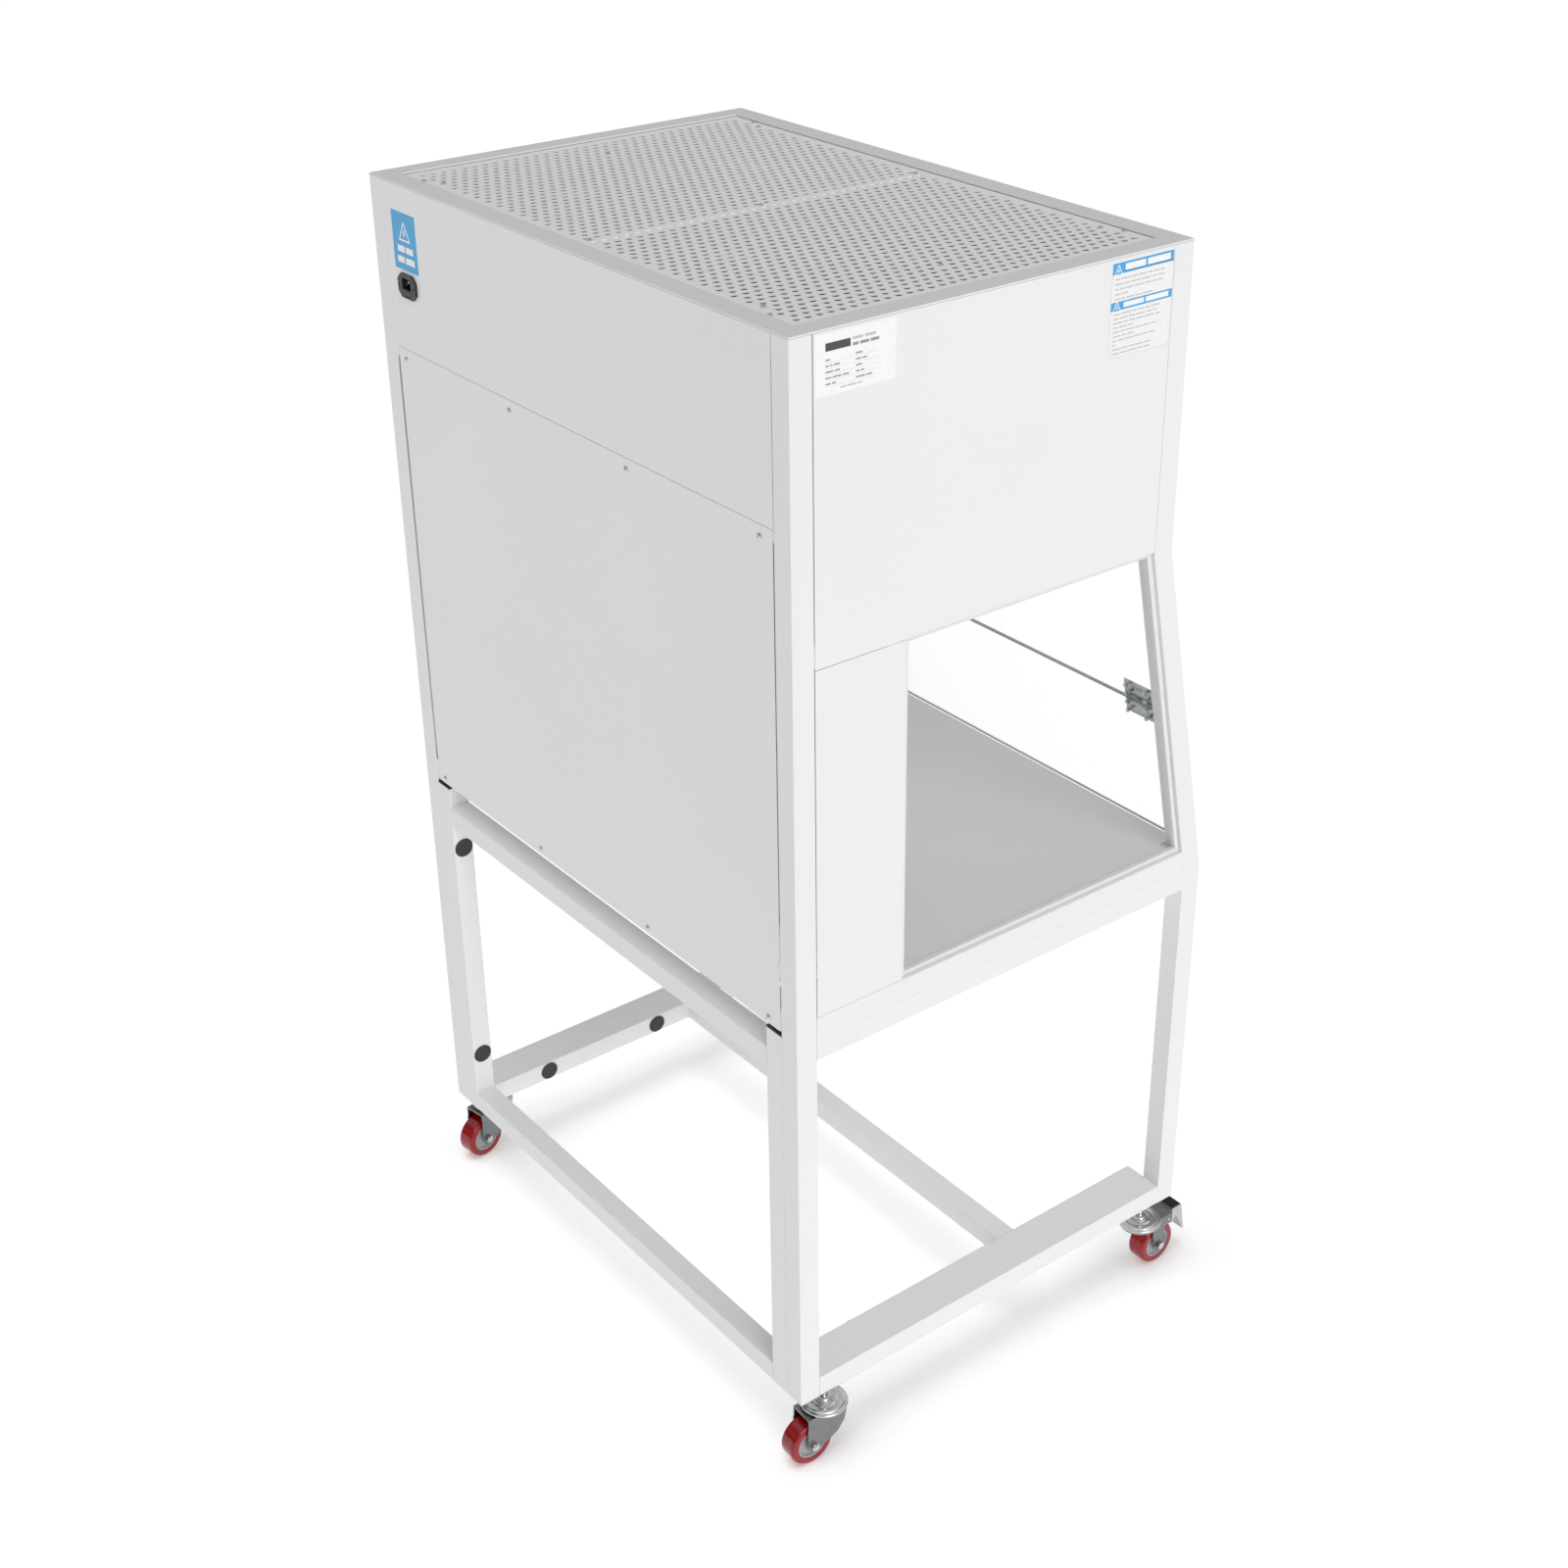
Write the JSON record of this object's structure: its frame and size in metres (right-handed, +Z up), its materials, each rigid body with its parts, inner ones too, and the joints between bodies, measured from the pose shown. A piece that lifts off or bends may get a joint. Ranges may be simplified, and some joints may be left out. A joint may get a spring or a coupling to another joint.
{
  "type": "laminar flow clean bench",
  "caption": "Mobile hooded clean bench: blower box, filtered glass work chamber with a flip-up front flap, and a bolted castor stand.",
  "frame": {"origin": "on the floor, below the middle of the overall box", "axes": "+Z up, +X along the worktop to the operator's right, -Y towards the operator"},
  "size_m": [1.037, 0.8384, 1.771],
  "materials": {
    "powder_white": "satin powder coat",
    "black_plastic": "moulded, fine grain",
    "switch_plastic": "moulded",
    "zinc_steel": "bright zinc plate",
    "grey_nylon": "moulded nylon",
    "red_polyurethane": "cast polyurethane, satin",
    "brake_pedal": "zinc plate with a black rubber pad",
    "filter_mat": "bonded polyester fibre",
    "galvanised": "galvanised sheet",
    "motor_body": "cast, painted",
    "aluminium": "pressed",
    "filter_frame": "anodised extrusion",
    "filter_paper": "pleated glass-fibre paper",
    "screen_white": "perforated, powder coated",
    "stainless": "brushed stainless steel",
    "clear_glass": "clear toughened glass",
    "lamp_glass": "coated glass tube",
    "lamp_plastic": "moulded",
    "brass": "nickel-plated brass"
  },
  "bodies": {
    "cabinet": {"stand_frame_left": "powder_white", "stand_frame_right": "powder_white", "stand_inner_frame": "powder_white", "stand_plugs": "black_plastic", "stand_bolts": "zinc_steel", "cabinet_frame": "powder_white", "top_rim": "powder_white", "intake_grille": "powder_white", "panel_screws": "zinc_steel", "prefilter": "filter_mat", "blower_housing": "galvanised", "blower_motor": "motor_body", "chamber_ceiling": "powder_white", "hepa_frame": "filter_frame", "hepa_pack": "filter_paper", "diffuser_screen": "screen_white", "worktop": "stainless", "side_glass_left": "clear_glass", "side_glass_right": "clear_glass", "front_glass_upper": "clear_glass", "hinge_upper_leaves": "zinc_steel", "hinge_pins": "zinc_steel", "hinge_screws": "zinc_steel", "glass_brackets": "zinc_steel", "lamp_tubes": "lamp_glass", "lamp_holders": "lamp_plastic", "side_panels": "powder_white", "back_panel_upper": "powder_white", "back_access_panel": "powder_white", "front_fascia": "powder_white", "switch_bezels": "black_plastic", "inlet_housing": "black_plastic", "inlet_pins": "brass", "castor_stems": "zinc_steel"},
    "front_flap": {"front_flap_glass": "clear_glass", "hinge_lower_leaves": "zinc_steel", "flap_screws": "zinc_steel"},
    "blower_wheel": {"blower_impeller": "aluminium"},
    "power_rocker": {"power_switch": "switch_plastic"},
    "lamp_rocker": {"lamp_switch": "switch_plastic"},
    "speed_knob": {"fan_speed_knob": "switch_plastic"},
    "fuse_drawer": {"fuse_drawer": "black_plastic"},
    "swivel_rear_left": {"fork_rear_left": "zinc_steel", "axle_rear_left": "zinc_steel"},
    "wheel_rear_left": {"hub_rear_left": "grey_nylon", "tyre_rear_left": "red_polyurethane"},
    "swivel_rear_right": {"fork_rear_right": "zinc_steel", "axle_rear_right": "zinc_steel"},
    "wheel_rear_right": {"hub_rear_right": "grey_nylon", "tyre_rear_right": "red_polyurethane"},
    "swivel_front_left": {"fork_front_left": "zinc_steel", "axle_front_left": "zinc_steel"},
    "wheel_front_left": {"hub_front_left": "grey_nylon", "tyre_front_left": "red_polyurethane"},
    "swivel_front_right": {"fork_front_right": "zinc_steel", "axle_front_right": "zinc_steel"},
    "wheel_front_right": {"hub_front_right": "grey_nylon", "tyre_front_right": "red_polyurethane"},
    "brake_left": {"brake_pedal_left": "brake_pedal"},
    "brake_right": {"brake_pedal_right": "brake_pedal"}
  },
  "joints": [
    {"name": "front_flap_hinge", "type": "hinge", "parent": "cabinet", "child": "front_flap", "pos_m": [0, -0.32314, 1.04044], "axis": [-1, 0, 0], "range_deg": [0, 170]},
    {"name": "blower_spin", "type": "hinge", "parent": "cabinet", "child": "blower_wheel", "pos_m": [0, 0.22077, 1.4942], "axis": [1, 0, 0], "continuous": true},
    {"name": "power_switch_rock", "type": "hinge", "parent": "cabinet", "child": "power_rocker", "pos_m": [-0.04, -0.26323, 1.524], "axis": [-1, 0, 0], "range_deg": [0, 14]},
    {"name": "lamp_switch_rock", "type": "hinge", "parent": "cabinet", "child": "lamp_rocker", "pos_m": [0, -0.26323, 1.524], "axis": [-1, 0, 0], "range_deg": [-7, 7]},
    {"name": "fan_speed_turn", "type": "hinge", "parent": "cabinet", "child": "speed_knob", "pos_m": [0.046, -0.26723, 1.524], "axis": [0, -1, 0], "range_deg": [0, 270]},
    {"name": "fuse_drawer_slide", "type": "slide", "parent": "cabinet", "child": "fuse_drawer", "axis": [0, 1, 0], "range_m": [0, 0.016]},
    {"name": "swivel_rear_left_turn", "type": "hinge", "parent": "cabinet", "child": "swivel_rear_left", "pos_m": [-0.4825, 0.34877, 0.1], "axis": [0, 0, 1], "continuous": true},
    {"name": "wheel_rear_left_spin", "type": "hinge", "parent": "swivel_rear_left", "child": "wheel_rear_left", "pos_m": [-0.48083, 0.38073, 0.0375], "axis": [-0.9986, 0.0523, 0], "continuous": true},
    {"name": "swivel_rear_right_turn", "type": "hinge", "parent": "cabinet", "child": "swivel_rear_right", "pos_m": [0.4825, 0.34877, 0.1], "axis": [0, 0, 1], "continuous": true},
    {"name": "wheel_rear_right_spin", "type": "hinge", "parent": "swivel_rear_right", "child": "wheel_rear_right", "pos_m": [0.47694, 0.38029, 0.0375], "axis": [-0.9848, -0.1736, 0], "continuous": true},
    {"name": "swivel_front_left_turn", "type": "hinge", "parent": "cabinet", "child": "swivel_front_left", "pos_m": [-0.4825, -0.32423, 0.1], "axis": [0, 0, 1], "continuous": true},
    {"name": "wheel_front_left_spin", "type": "hinge", "parent": "swivel_front_left", "child": "wheel_front_left", "pos_m": [-0.48194, -0.35622, 0.0375], "axis": [0.9998, 0.0175, 0], "continuous": true},
    {"name": "swivel_front_right_turn", "type": "hinge", "parent": "cabinet", "child": "swivel_front_right", "pos_m": [0.4825, -0.32423, 0.1], "axis": [0, 0, 1], "continuous": true},
    {"name": "wheel_front_right_spin", "type": "hinge", "parent": "swivel_front_right", "child": "wheel_front_right", "pos_m": [0.48027, -0.35615, 0.0375], "axis": [0.9976, -0.0698, 0], "continuous": true},
    {"name": "brake_left_press", "type": "hinge", "parent": "swivel_front_left", "child": "brake_left", "pos_m": [-0.48159, -0.37622, 0.0815], "axis": [0.9998, 0.0175, 0], "range_deg": [0, 12]},
    {"name": "brake_right_press", "type": "hinge", "parent": "swivel_front_right", "child": "brake_right", "pos_m": [0.47887, -0.3761, 0.0815], "axis": [0.9976, -0.0698, 0], "range_deg": [0, 12]}
  ]
}
